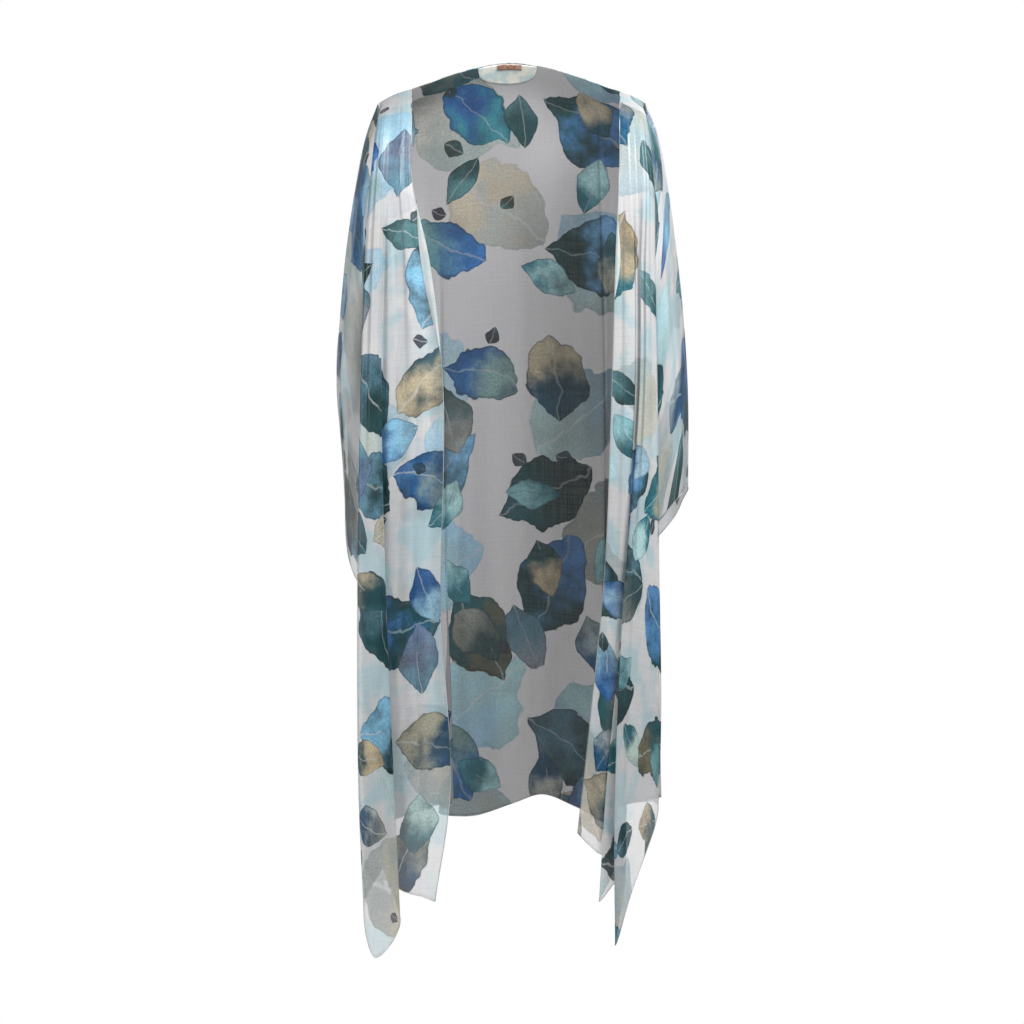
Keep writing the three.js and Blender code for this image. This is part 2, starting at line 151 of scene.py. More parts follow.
# Rings of a sleeve: name, outer line's x and drop, inner line's x and drop, half depth, bow, and how far the
# front is lifted and the back drops below those lines.
SLEEVE_LEFT_RINGS = [
    ("cap", (219, 110), (182, 335), 85, 14, 0, 0),
    ("upper arm", (233, 185), (183, 390), 82, 9, 0, 0),
    ("elbow", (247, 290), (184, 455), 76, 5, 2, 2),
    ("forearm", (257, 390), (185, 530), 70, 4, 5, 5),
    ("wrist", (263, 500), (187, 615), 64, 5, 8, 9),
    ("cuff", (263, 637), (192, 724), 58, 7, 10, 14),
]
SLEEVE_RIGHT_RINGS = [
    ("cap", (219, 112), (182, 335), 85, 14, 0, 0),
    ("upper arm", (235, 192), (183, 390), 82, 9, 3, 4),
    ("elbow", (249, 290), (184, 460), 76, 6, 8, 16),
    ("forearm", (257, 380), (185, 540), 70, 7, 16, 40),
    ("wrist", (262, 465), (187, 630), 64, 12, 26, 80),
    ("cuff", (251, 554), (194, 718), 58, 18, 40, 126),
]

# The soft folds that run down a sleeve: how many, how high at the cuff in millimetres, and where they start.
SLEEVE_FOLDS = {"count": 5, "height": 3.2, "phase": 0.9}

# Creases: along which line (counted from the panel's first), from which station to which, half width in
# lines, depth in millimetres (a trough where it is below 0) and how many lines it drifts on its way. A
# sleeve's creases are counted in shares of its round and of its length.
FRONT_RIGHT_CREASES = [
    (0.9, 0.4, 3.6, 0.30, 3.3, 0.3), (2.4, 0.2, 4.4, 0.26, -3.6, 0.2), (3.5, 1.2, 5.8, 0.30, 3.0, -0.2),
    (5.45, 0.3, 5.2, 0.20, 2.7, 0.1), (6.3, 0.8, 4.6, 0.16, -3.3, 0.2), (6.65, 3, 7, 0.14, 2.8, -0.1),
    (1.6, 3.8, 7, 0.26, -3.3, 0.2), (7.9, 2.6, 6.4, 0.30, -3.0, 0.1), (8.7, 3.2, 7, 0.25, 3.3, 0),
]
FRONT_LEFT_CREASES = [
    (0.6, 1.6, 6.2, 0.28, 3.0, 0.2), (1.6, 0.4, 4.4, 0.24, -3.3, 0.1), (3.5, 0.8, 4.8, 0.25, 2.7, 0.1),
    (5.4, 0.6, 4.4, 0.18, 2.7, 0.1), (5.75, 2.2, 7, 0.15, -3.0, 0.1), (6.35, 0.5, 5.4, 0.18, 3.3, 0.1),
    (6.7, 3.6, 7, 0.15, -2.7, 0), (7.9, 2.4, 6.2, 0.30, -3.0, 0.1), (8.6, 3.4, 7, 0.25, 3.0, 0),
]
BACK_CREASES = [
    (4.3, 0.3, 3.8, 0.30, 3.6, 0.4), (5.2, 1.4, 5.6, 0.34, -4.5, 0.2), (6.3, 2.8, 7.0, 0.26, 3.9, -0.3),
    (7.55, 4.4, 7.0, 0.30, 5.1, 0.1), (8.2, 0.2, 2.6, 0.36, 3.3, 0.2), (8.6, 3.6, 7.0, 0.30, -5.1, 0.2),
    (9.5, 2.2, 6.4, 0.30, 4.2, 0.1), (10.4, 4.6, 7.0, 0.28, 5.4, -0.1), (11.3, 1.6, 6.0, 0.26, -3.9, 0.2),
    (12.4, 0.6, 4.8, 0.24, 3.9, 0.1), (13.5, 2.0, 6.6, 0.26, -3.6, 0.0), (14.4, 3.0, 7.0, 0.30, 4.2, 0.1),
    (3.4, 2.4, 7.0, 0.26, -3.9, 0.1), (2.3, 3.2, 6.8, 0.26, 3.6, 0.0), (16.3, 3.2, 7.0, 0.30, -3.3, 0.0),
]
SLEEVE_CREASES = [
    (0.06, 0.2, 0.8, 0.020, 2.4, 0.01), (0.16, 0.3, 1.0, 0.022, -2.6, 0.01),
    (0.27, 0.1, 0.9, 0.020, 2.0, 0.02), (0.40, 0.4, 1.0, 0.025, -2.2, 0.0),
    (0.60, 0.3, 1.0, 0.025, 2.2, 0.01), (0.72, 0.1, 0.8, 0.022, -2.4, 0.02),
    (0.83, 0.3, 1.0, 0.020, 2.6, -0.01), (0.94, 0.2, 0.9, 0.018, -2.2, 0.01),
]

# The power to which a crease rises along its length, and the share of a line over which creases fade at the
# sides of a panel.
CREASE_RISE = 0.7
CREASE_FADE = 0.5

# Fineness of the cloth's mesh.
COLUMNS_PER_LINE = 11
ROWS = 170
SLEEVE_COLUMNS = 120
SLEEVE_ROWS = 110

# Near the shoulder a front is smoothed over so many columns, as far as its outer fold, which is this line.
YOKE_REACH = 22
OUTER_FOLD = 7

# The least length that is divided by, and a direction that no hem follows.
TINY = 1e-8
HEM_ASIDE = (0.31, 0.83, 0.46)

# Dyes of the print.
TEAL = (0.012, 0.086, 0.100)
SEA = (0.030, 0.205, 0.260)
BLUE = (0.022, 0.125, 0.390)
SKY = (0.230, 0.500, 0.690)
AQUA = (0.340, 0.630, 0.670)
SAND = (0.520, 0.420, 0.270)
STONE = (0.300, 0.310, 0.260)
MOSS = (0.010, 0.032, 0.024)
PLUM = (0.035, 0.010, 0.045)

# The print: watercolour leaves in a few layers. cell is the spacing of the leaves in metres, length and width
# are half sizes as shares of it, left_out the share of leaves that is missing, strength how dense the wash
# is, rim how strongly its edge has dried and depth how dark and how light it is in places. shift moves the
# layer over the cloth. The wash of a leaf runs from one of the first dyes to one of the second.
PRINT_LAYERS = [
    {"cell": 0.230, "length": 0.46, "width": 0.36, "left_out": 0.08, "strength": 0.72, "rim": 0.3,
     "depth": (0.95, 1.30), "shift": (0.13, 0.71),
     "first": (SKY, SAND, AQUA, STONE, SKY), "second": (AQUA, STONE, SKY, SAND, SEA)},
    {"cell": 0.180, "length": 0.48, "width": 0.31, "left_out": 0.08, "strength": 1.0, "rim": 0.9,
     "depth": (0.65, 1.30), "shift": (3.37, 1.19),
     "first": (TEAL, BLUE, SEA, TEAL, MOSS, TEAL), "second": (SAND, SEA, SAND, MOSS, SKY, BLUE)},
    {"cell": 0.112, "length": 0.47, "width": 0.28, "left_out": 0.24, "strength": 1.0, "rim": 0.9,
     "depth": (0.65, 1.30), "shift": (7.61, 5.43),
     "first": (MOSS, SEA, TEAL, BLUE, STONE), "second": (TEAL, AQUA, SAND, SKY, MOSS)},
    {"cell": 0.095, "length": 0.15, "width": 0.12, "left_out": 0.78, "strength": 0.95, "rim": 0.6,
     "depth": (0.65, 1.30), "shift": (1.93, 8.27),
     "first": (PLUM, MOSS), "second": (PLUM, TEAL)},
]

# The noises of the print. Ripple and pool bend the leaves. Ripple also places the haze, between two values of
# it, and pool makes the wash darker and drifts its change of dye. Grain speckles the dye.
RIPPLE = {"scale": 13.0, "detail": 3.0, "roughness": 0.48}
POOL = {"scale": 17.0, "detail": 3.0, "roughness": 0.55}
GRAIN = {"scale": 280.0, "detail": 1.0, "roughness": 0.6}
WOBBLE = 0.22
HAZE_SPAN = (0.47, 0.64)
DRIFT = 2.6
SPECKLE = (0.86, 1.12)

# The leaves, in shares of their layer's cell: how far they stray from even places, how they taper and vary in
# size, how soft their edge is, where the dried rim starts and ends, the half width of the paler midrib, and
# over how much of a leaf's half length its wash changes dye.
SCATTER = 0.55
TAPER = 1.8
SIZES = {"least": 0.76, "more": 0.30}
LEAF_EDGE = (0.0, 0.010)
RIM_SPAN = (0.032, 0.006)
MIDRIB = {"half_width": (0.003, 0.012), "strength": 0.62}
DYE_CHANGE = (-0.55, 0.55)
DRIED_RIM = (0.36, 0.42, 0.46)

# Colours of the bare cloth outside and inside, where the darker grey is painted shade, and on the inside of
# the back, where the dark grey is painted shade; the tint of the pale haze on it, and the colours of the neck
# pieces.
GROUND = (0.80, 0.795, 0.80)
PAINTED_SHADE_INSIDE_GROUND = (0.60, 0.595, 0.60)
PAINTED_SHADE_BACK_GROUND = (0.25, 0.245, 0.255)
HAZE = (0.70, 0.92, 0.97)
NO_HAZE = (1, 1, 1)
CREAM = (0.93, 0.90, 0.80)
PALE_WASH = (0.62, 0.76, 0.75)
TAPE_BROWNS = ((0.22, 0.10, 0.06), (0.38, 0.20, 0.13), (0.50, 0.34, 0.26))

# The weave: the spacing of its threads in metres, and how its slubs are stretched each way.
THREAD_SPACING = {"X": 0.0011, "Y": 0.0013}
SLUB_STRETCHES = ((430.0, 14.0, 1.0), (14.0, 390.0, 1.0))
SLUB_TONE = {"scale": 1.0, "detail": 1.0, "roughness": 0.6}

# Between these values of an uneven tone, a look goes from its least to its most.
TONE_SPAN = (0.3, 0.7)

# The printed silk on each side of the cloth: its bare colour and the haze on it, how much the whole cloth
# covers what lies behind it where it is bare and where it is dyed, how much darker its dyes are made, how
# marked its slubs, and its gloss. Outside the dyes are made duller; on the inside of the back their darkening
# is painted shade.
SILKS = {
    "outer": {
        "ground": GROUND, "haze": HAZE, "bare": 0.66, "dyed": 0.90, "dye_dulling_and_shade": 0.85, "slub": 0.02,
        "roughness": 0.4, "specular": 0.4, "sheen": 0.1,
    },
    # The inside of the fronts and sleeves: its darker grey ground is painted shade.
    "inner": {
        "ground": PAINTED_SHADE_INSIDE_GROUND, "haze": HAZE, "bare": 0.66, "dyed": 0.90, "dye_dulling_and_shade": 1.0, "slub": 0.02,
        "roughness": 0.4, "specular": 0.5, "sheen": 0.1,
    },
    "back_outer": {
        "ground": GROUND, "haze": NO_HAZE, "bare": 0.66, "dyed": 0.93, "dye_dulling_and_shade": 1.0, "slub": 0.03,
        "roughness": 0.36, "specular": 0.5, "sheen": 0.1,
    },
    # The inside of the back: its dark grey ground and its darker dyes are painted shade.
    "back_inner": {
        "ground": PAINTED_SHADE_BACK_GROUND, "haze": NO_HAZE, "bare": 0.92, "dyed": 0.99, "dye_dulling_and_shade": 0.65,
        "slub": 0.035, "roughness": 0.55, "specular": 0.15, "sheen": 0.0,
    },
}
ALPHA_PLAY = 0.03
ROUGHNESS_PLAY = 0.03
SHEEN_ROUGHNESS = 0.4
WEAVE_BUMP = (0.08, 0.00015)

# Silk that lies double, the rolled hems and the woven tape. A bump is its strength and its depth in metres.
DOUBLED = {
    "turned": {"ground": GROUND, "cover": 0.5},
    "facing": {"ground": CREAM, "cover": 0.87},
}
DOUBLED_LOOK = {
    "wash": {"scale": 30.0, "detail": 3.0, "roughness": 0.6}, "wash_span": (0.4, 0.62),
    "roughness": (0.42, 0.5), "sheen": 0.1, "bump": (0.1, 0.00015),
}
HEM_LOOK = {
    "tone": {"scale": 26.0, "detail": 2.0, "roughness": 0.6}, "tone_span": (0.35, 0.65),
    "cover": (0.45, 0.6), "roughness": (0.45, 0.6), "sheen": 0.1,
    "stitches": {"scale": 900.0, "detail": 1.0, "roughness": 0.5}, "bump": (0.3, 0.0003),
}
TAPE_LOOK = {
    "tone": {"scale": 260.0, "detail": 3.0, "roughness": 0.6}, "roughness": (0.6, 0.8),
    "rib_scale": 400.0, "bump": (0.5, 0.0003),
}

# Where on the printed length each piece is cut from, in metres.
PRINT_OFFSETS = {
    "back": (0.0, 0.0),
    "front_right": (1.31, 0.17),
    "front_left": (2.47, 0.39),
    "sleeve_right": (3.83, 0.71),
    "sleeve_left": (5.11, 0.05),
}

# The narrow rolled hems of each piece: a word for its name, and which border it follows.
HEMS = {
    "back": [("neck", "top"), ("hem", "bottom")],
    "front_right": [("edge", "first"), ("hem", "bottom")],
    "front_left": [("edge", "first"), ("hem", "bottom")],
    "sleeve_right": [("cuff", "bottom")],
    "sleeve_left": [("cuff", "bottom")],
}

# Soft lights: name, place, what it points at, size and power.
LIGHTS = [
    ("key", (0.85, -1.2, 0.75), (0.12, 0, -0.3), 0.7, 50),
    ("side", (-1.7, -1.5, 0.2), (0.1, 0, -0.4), 0.9, 30),
    ("rim", (0.9, 2.6, 0.8), (0, 0, -0.5), 1.6, 24),
]
SKYLIGHT = {"colour": (0.95, 0.97, 1.0), "strength": 0.19}
SURROUND = {"colour": (1, 1, 1), "strength": 1.0}
FLOOR = {"half": 3.0, "height": -1.8, "colour": (0.82, 0.82, 0.82), "roughness": 0.8}

# The camera looks level along +Y at the middle of the photograph's frame.
FRAME_HEIGHT = 1.536
FRAME_MIDDLE = -0.675
CAMERA_DISTANCE = 24.0
CAMERA_REACH = 200.0
SENSOR = 36.0

# How often light passes through cloth and bounces off it.
BOUNCES = {
    "transparent_max_bounces": 40, "max_bounces": 2, "diffuse_bounces": 1, "glossy_bounces": 1,
}


def knot_step(a, b):
    """The step of a centripetal curve's parameter from a to b: the root of their distance."""
    return np.maximum(np.linalg.norm(b - a, axis=-1, keepdims=True), TINY) ** 0.5


def catmull_rom(points, t):
    """Centripetal Catmull-Rom curves through points (..., n, 3) at t (m,), one step of t for each span."""
    before = 2 * points[..., :1, :] - points[..., 1:2, :]
    after = 2 * points[..., -1:, :] - points[..., -2:-1, :]
    knots = np.concatenate([before, points, after], axis=-2)
    n = points.shape[-2]
    s = np.clip(t, 0, 1) * (n - 1)
    i = np.minimum(np.floor(s), n - 2).astype(int)
    w = (s - i)[:, None]
    p0, p1, p2, p3 = (knots[..., i + k, :] for k in range(4))
    d0, d1, d2 = knot_step(p0, p1), knot_step(p1, p2), knot_step(p2, p3)
    m1 = ((p1 - p0) / d0 - (p2 - p0) / (d0 + d1) + (p2 - p1) / d1) * d1
    m2 = ((p2 - p1) / d1 - (p3 - p1) / (d1 + d2) + (p3 - p2) / d2) * d1
    c2 = -3 * p1 + 3 * p2 - 2 * m1 - m2
    c3 = 2 * p1 - 2 * p2 + m1 + m2
    return p1 + m1 * w + c2 * w**2 + c3 * w**3


def lerp(a, b, share):
    return a + (b - a) * share


def top_height(x):
    """The height of the neck edge and, beyond it, of the shoulder seam."""
    away = abs(x)
    if away < NECK_HALF_WIDTH:
        return -NECK_FALL * (away / NECK_HALF_WIDTH) ** NECK_ROUND
    share = (away - NECK_HALF_WIDTH) / (SHOULDER_HALF_WIDTH - NECK_HALF_WIDTH)
    return -lerp(NECK_FALL, SHOULDER_FALL, share**SHOULDER_ROUND)


def neck_reach(x):
    """How far behind the shoulder line the neck edge lies."""
    return NECK_REACH * max(0, 1 - (x / NECK_HALF_WIDTH) ** 2)


def armhole_points(side, face, angles):
    """Points of the armhole seam: angle 0 is the shoulder and 180 the underarm."""
    c, s = np.cos(np.radians(angles)), np.sin(np.radians(angles))
    half_height = (UNDERARM_DROP - SHOULDER_FALL) / 2
    x = ARMHOLE["middle"] + ARMHOLE["lean"] * c + ARMHOLE["bow"] * s * s
    z = -UNDERARM_DROP + half_height * (1 + c)
    return np.stack([side * x, face * ARMHOLE["half_depth"] * s, z], axis=-1)


def armhole_angles(places):
    """The armhole's angles for places from the shoulder by the chest to the underarm."""
    return 90 * np.where(places < CHEST, places / CHEST, places - CHEST + 1)


def fold_line(xs, depths, drop, top_depth, face, side, places):
    """A fold line's points at the places, which are counted in stations from the shoulder."""
    top = top_height(xs[0])
    down = {station: -lerp(UNDERARM_DROP, drop, share) for station, share in SHARE_DOWN.items()}
    rows = [
        (xs[0], top_depth, top),
        (
            lerp(xs[0], xs[1], YOKE["x_share"]),
            lerp(top_depth, depths[0], YOKE["depth_share"]),
            lerp(top, -CHEST_DROP, YOKE["fall_share"]),
        ),
        (xs[1], depths[0], -CHEST_DROP),
        (
            lerp(xs[1], xs[2], UNDERARM_SHARE["x"]),
            lerp(depths[0], depths[1], UNDERARM_SHARE["depth"]),
            -UNDERARM_DROP,
        ),
        (xs[2], depths[1], down["waist"]),
        (xs[3], depths[2], down["hip"]),
        (xs[4], depths[3], down["calf"]),
        (xs[5], depths[4], down["hem"]),
    ]
    points = np.array([(side * x, face * depth, z) for x, depth, z in rows], dtype=float)
    return catmull_rom(points, places / HEM)


def side_lines(side, face, depth, outer_drop, places):
    """The turn behind the outer fold, the run back and the seam, outermost last."""
    lines = []
    for _, xs, shares, to_seam in SIDE_TURN:
        drop = lerp(outer_drop, SIDE_SEAM_DROP, to_seam)
        lines.append(fold_line(xs, [depth * s for s in shares], drop, SEAM_GAP / 2, face, side, places))
    seam = armhole_points(side, face, armhole_angles(np.minimum(places, UNDERARM)))
    share = np.clip((places - UNDERARM) / (HEM - UNDERARM), 0, 1)
    underarm = armhole_points(side, face, np.array([180.0]))[0]
    below = np.stack(
        [
            lerp(underarm[0], side * SIDE_HALF_WIDTH, share),
            np.zeros_like(share),
            lerp(-UNDERARM_DROP, -SIDE_SEAM_DROP, share),
        ],
        axis=-1,
    )
    lines.append(np.where(places[:, None] <= UNDERARM, seam, below))
    return lines


def crease_field(creases, across, down):
    """How far each point is moved along its normal, in millimetres."""
    field = np.zeros(np.broadcast(across, down).shape)
    for line, start, end, width, depth, drift in creases:
        share = np.clip((down - start) / (end - start), 0, 1)
        strength = np.sin(np.pi * share) ** CREASE_RISE
        middle = line + drift * (share - 0.5)
        field = field + depth * strength * np.exp(-(((across - middle) / width) ** 2))
    return field


def normals_of(grid, closed=False):
    """Unit normals of a grid of points (rows, columns, 3)."""
    if closed:
        across = np.roll(grid, -1, axis=1) - np.roll(grid, 1, axis=1)
    else:
        across = np.gradient(grid, axis=1)
    normal = np.cross(across, np.gradient(grid, axis=0))
    return normal / np.maximum(np.linalg.norm(normal, axis=-1, keepdims=True), TINY)


def panel_grid(lines, face, creases, places):
    """A panel's points in millimetres: rows follow the places and columns the lines."""
    across = np.linspace(0, len(lines) - 1, (len(lines) - 1) * COLUMNS_PER_LINE + 1)
    grid = catmull_rom(np.stack(lines, axis=1), across / (len(lines) - 1))
    normal = normals_of(grid)
    field = crease_field(creases, across[None, :], places[:, None]) * np.clip(places / CHEST, 0, 1)[:, None]
    rim = np.clip(np.minimum(across, across[-1] - across) / CREASE_FADE, 0, 1)
    grid = grid + normal * (field * rim[None, :])[..., None]
    grid[..., 1] = face * np.maximum(face * grid[..., 1], SEAM_GAP / 2)
    return grid


def smooth_yoke(grid, places):
    """Smooths a front's depth across its folds near the shoulder, where they have not opened yet."""
    kernel = np.hanning(2 * YOKE_REACH + 1)
    depth = grid[..., 1]
    padded = np.pad(depth, ((0, 0), (YOKE_REACH, YOKE_REACH)), mode="edge")
    smooth = np.stack([np.convolve(row, kernel / kernel.sum(), mode="valid") for row in padded])
    near = np.sqrt(1 - np.clip(places / (CHEST + 1), 0, 1))[:, None]
    to_outer_fold = OUTER_FOLD * COLUMNS_PER_LINE - np.arange(grid.shape[1])
    grid[..., 1] = lerp(depth, smooth, near * np.clip(to_outer_fold / YOKE_REACH, 0, 1)[None, :])
    return grid


def front_grid(folds, side, creases):
    """A front's points: columns run from its centre edge to the side seam."""
    places = np.linspace(0, HEM, ROWS)
    lines = [
        fold_line(xs, [FRONT_DEPTH + out for out in outs], drop, SEAM_GAP / 2, -1, side, places)
        for _, xs, outs, drop in folds
    ]
    lines += side_lines(side, -1, FRONT_DEPTH, folds[-1][3], places)
    return smooth_yoke(panel_grid(lines, -1, creases, places), places)


def back_grid():
    """The back's points: columns run from the right side seam to the left one."""
    places = np.linspace(0, HEM, ROWS)
    lines = []
    for _, xs, outs, drop in BACK_FOLDS:
        top_depth = neck_reach(xs[0]) + SEAM_GAP / 2
        lines.append(fold_line(xs, [BACK_DEPTH + out for out in outs], drop, top_depth, 1, 1, places))
    right = side_lines(-1, 1, BACK_DEPTH, BACK_FOLDS[0][3], places)[::-1]
    left = side_lines(1, 1, BACK_DEPTH, BACK_FOLDS[-1][3], places)
    return panel_grid(right + lines + left, 1, BACK_CREASES, places)


def sleeve_grid(rings, side):
    """A sleeve's points: columns run round it from the underarm by the back, the shoulder and the front."""
    angles = (180 + np.arange(SLEEVE_COLUMNS) * 360.0 / SLEEVE_COLUMNS) % 360
    c, s = np.cos(np.radians(angles)), np.sin(np.radians(angles))
    seam = armhole_points(side, -1, np.where(angles <= 180, angles, 360 - angles))
    seam[:, 1] = -ARMHOLE["half_depth"] * s
    seam[:, 0] += side * SLEEVE_CLEAR
    points = [seam]
    for k, (_, outer, inner, half_depth, bow, front_lift, back_drop) in enumerate(rings):
        share = (k + 1) / len(rings)
        wave = np.cos(SLEEVE_FOLDS["count"] * np.radians(angles) + SLEEVE_FOLDS["phase"])
        fold = SLEEVE_FOLDS["height"] * share * wave
        x = lerp(inner[0], outer[0], (1 + c) / 2) + bow * s * s
        z = -lerp(inner[1], outer[1], (1 + c) / 2) + np.where(s > 0, front_lift, back_drop) * s
        points.append(np.stack([side * (x + fold * c / 2), -(half_depth + fold) * s, z], axis=-1))
    down = np.linspace(0, 1, SLEEVE_ROWS)
    grid = np.swapaxes(catmull_rom(np.stack(points, axis=1), down), 0, 1)
    field = crease_field(SLEEVE_CREASES, (angles / 360)[None, :], down[:, None])
    return grid + normals_of(grid, closed=True) * field[..., None]


def cut_coordinates(grid, closed, offset):
    """Where each point lies on the flat cloth, in metres. A closed grid's first column comes last again."""
    ring = np.concatenate([grid, grid[:, :1]], axis=1) if closed else grid
    across = np.zeros(ring.shape[:2])
    down = np.zeros(ring.shape[:2])
    across[:, 1:] = np.cumsum(np.linalg.norm(np.diff(ring, axis=1), axis=-1), axis=1)
    down[1:] = np.cumsum(np.linalg.norm(np.diff(ring, axis=0), axis=-1), axis=0)
    across -= across[:, ring.shape[1] // 2, None]
    return np.stack([across * MM + offset[0], down * MM + offset[1], np.zeros_like(across)], axis=-1)


def add_object(name, data):
    obj = bpy.data.objects.new(name, data)
    bpy.context.scene.collection.objects.link(obj)
    return obj


def add_mesh(name, verts, faces):
    """An object with a smooth mesh."""
    mesh = bpy.data.meshes.new(name)
    mesh.from_pydata(verts, [], faces)
    mesh.polygons.foreach_set("use_smooth", [True] * len(faces))
    return add_object(name, mesh)


def shell_faces(flat, rows, columns, closed):
    """A shell's faces and where their corners lie on the flat cloth: outer side, inner side, then rims."""
    steps = columns if closed else columns - 1
    layer = rows * columns
    j, i = np.meshgrid(np.arange(rows - 1), np.arange(steps), indexing="ij")
    j, i = j.reshape(-1, 1) + [0, 1, 1, 0], i.reshape(-1, 1) + [0, 0, 1, 1]
    quads = j * columns + i % columns
    faces = [quads, quads[:, ::-1] + layer]
    cuts = [flat[j, i], flat[j, i][:, ::-1]]
    below = np.array([0, 0, layer, layer])
    ring = np.arange(steps)[:, None] + [0, 1, 1, 0]
    for row in (0, rows - 1):
        faces.append(row * columns + ring % columns + below)
        cuts.append(flat[row, ring])
    if not closed:
        ring = np.arange(rows - 1)[:, None] + [0, 1, 1, 0]
        for column in (0, columns - 1):
            faces.append(ring * columns + column + below)
            cuts.append(flat[ring, column])
    return np.concatenate(faces), np.concatenate(cuts)


def shell(name, grid, outward, closed=False, offset=(0.0, 0.0), thick=SILK_THICK):
    """A thin closed shell about a grid: slot 1 is the inner face of the cloth and slot 0 all the rest."""
    normal = normals_of(grid, closed)
    if np.sum(normal * outward(grid)) < 0:
        normal = -normal
    outer = (grid + normal * thick / 2) * MM
    inner = (grid - normal * thick / 2) * MM
    verts = np.concatenate([outer.reshape(-1, 3), inner.reshape(-1, 3)])
    faces, cuts = shell_faces(cut_coordinates(grid, closed, offset), *grid.shape[:2], closed)
    obj = add_mesh(name, verts.tolist(), faces.tolist())
    lies_inside = np.all(faces >= len(verts) // 2, axis=1)
    obj.data.polygons.foreach_set("material_index", lies_inside.astype(int))
    attribute = obj.data.attributes.new("cut", "FLOAT_VECTOR", "CORNER")
    attribute.data.foreach_set("vector", cuts.ravel())
    turn_outward(obj)
    return obj


def turn_outward(obj):
    """Makes every face of a closed mesh point out."""
    bm = bmesh.new()
    bm.from_mesh(obj.data)
    bmesh.ops.recalc_face_normals(bm, faces=bm.faces)
    bm.to_mesh(obj.data)
    bm.free()


def tube(name, points, radius, closed):
    """A round tube along points in metres, such as a rolled hem: a ring where closed, or else with ends."""
    points = np.asarray(points)
    n = len(points)
    if closed:
        tangent = np.roll(points, -1, axis=0) - np.roll(points, 1, axis=0)
    else:
        tangent = np.gradient(points, axis=0)
    tangent /= np.maximum(np.linalg.norm(tangent, axis=1, keepdims=True), TINY)
    side = np.cross(tangent, HEM_ASIDE)
    side /= np.linalg.norm(side, axis=1, keepdims=True)
    up = np.cross(side, tangent)
    angle = 2 * np.pi * np.arange(HEM_SIDES) / HEM_SIDES
    ring = side[:, None] * np.cos(angle)[None, :, None] + up[:, None] * np.sin(angle)[None, :, None]
    verts = (points[:, None] + ring * radius).reshape(-1, 3)
    faces = []
    for k in range(n if closed else n - 1):
        here, there = k * HEM_SIDES, (k + 1) % n * HEM_SIDES
        for m in range(HEM_SIDES):
            beside = (m + 1) % HEM_SIDES
            faces.append((here + m, here + beside, there + beside, there + m))
    if not closed:
        faces.append(tuple(range(HEM_SIDES)))
        faces.append(tuple(reversed(range((n - 1) * HEM_SIDES, n * HEM_SIDES))))
    obj = add_mesh(name, verts.tolist(), faces)
    turn_outward(obj)
    return obj


SOCKETS = {
    "colour": "Base Color",
    "alpha": "Alpha",
    "roughness": "Roughness",
    "specular": "Specular IOR Level",
    "sheen": "Sheen Weight",
    "sheen_roughness": "Sheen Roughness",
}


class Nodes:
    """Short ways to add shader nodes."""

    def __init__(self, name):
        self.material = bpy.data.materials.new(name)
        self.material.use_nodes = True
        self.tree = self.material.node_tree
        self.shader = self.tree.nodes["Principled BSDF"]

    def add(self, kind, **settings):
        node = self.tree.nodes.new(kind)
        for key, value in settings.items():
            setattr(node, key, value)
        return node

    def link(self, source, target):
        self.tree.links.new(source, target)

    def feed(self, sockets, values):
        for socket, value in zip(sockets, values):
            if isinstance(value, bpy.types.NodeSocket):
                self.link(value, socket)
            elif socket.type == "RGBA":
                socket.default_value = (*value, 1.0)
            else:
                socket.default_value = value

    def math(self, operation, *values):
        node = self.add("ShaderNodeMath", operation=operation)
        self.feed(node.inputs, values)
        return node.outputs[0]

    def vector(self, operation, *values):
        node = self.add("ShaderNodeVectorMath", operation=operation)
        self.feed(node.inputs, values)
        return node.outputs[0]

    def scale(self, vector, factor):
        node = self.add("ShaderNodeVectorMath", operation="SCALE")
        self.feed((node.inputs[0], node.inputs["Scale"]), (vector, factor))
        return node.outputs[0]

    def noise(self, vector, scale, detail, roughness):
        node = self.add("ShaderNodeTexNoise", noise_dimensions="2D")
        names = ("Vector", "Scale", "Detail", "Roughness")
        self.feed([node.inputs[name] for name in names], (vector, scale, detail, roughness))
        return node.outputs["Fac"]

    def ramp(self, fac, colours):
        """Colours spread evenly over 0 to 1."""
        node = self.add("ShaderNodeValToRGB")
        elements = node.color_ramp.elements
        for _ in range(len(colours) - len(elements)):
            elements.new(0.5)
        for k, (element, colour) in enumerate(zip(elements, colours)):
            element.position = k / (len(colours) - 1)
            element.color = (*colour, 1.0)
        self.link(fac, node.inputs["Fac"])
        return node.outputs["Color"]

    def step(self, value, low, high, start=0.0, end=1.0):
        node = self.add("ShaderNodeMapRange", interpolation_type="SMOOTHSTEP", clamp=True)
        self.feed(node.inputs, (value, low, high, start, end))
        return node.outputs["Result"]

    def vary(self, tone, least=0.0, most=1.0):
        """A value that goes from its least to its most with an uneven tone."""
        return self.step(tone, *TONE_SPAN, least, most)

    def mix(self, fac, a, b, blend="MIX"):
        node = self.add("ShaderNodeMix", data_type="RGBA", blend_type=blend)
        sockets = {socket.name: socket for socket in node.inputs if socket.enabled}
        self.feed((sockets["Factor"], sockets["A"], sockets["B"]), (fac, a, b))
        return next(socket for socket in node.outputs if socket.enabled)

    def bump(self, height, strength, distance):
        node = self.add("ShaderNodeBump")
        names = ("Height", "Strength", "Distance")
        self.feed([node.inputs[name] for name in names], (height, strength, distance))
        self.link(node.outputs[0], self.shader.inputs["Normal"])

    def surface(self, **values):
        """Sets or links the shader's own sockets, named in small letters."""
        for name, value in values.items():
            self.feed([self.shader.inputs[SOCKETS[name]]], [value])


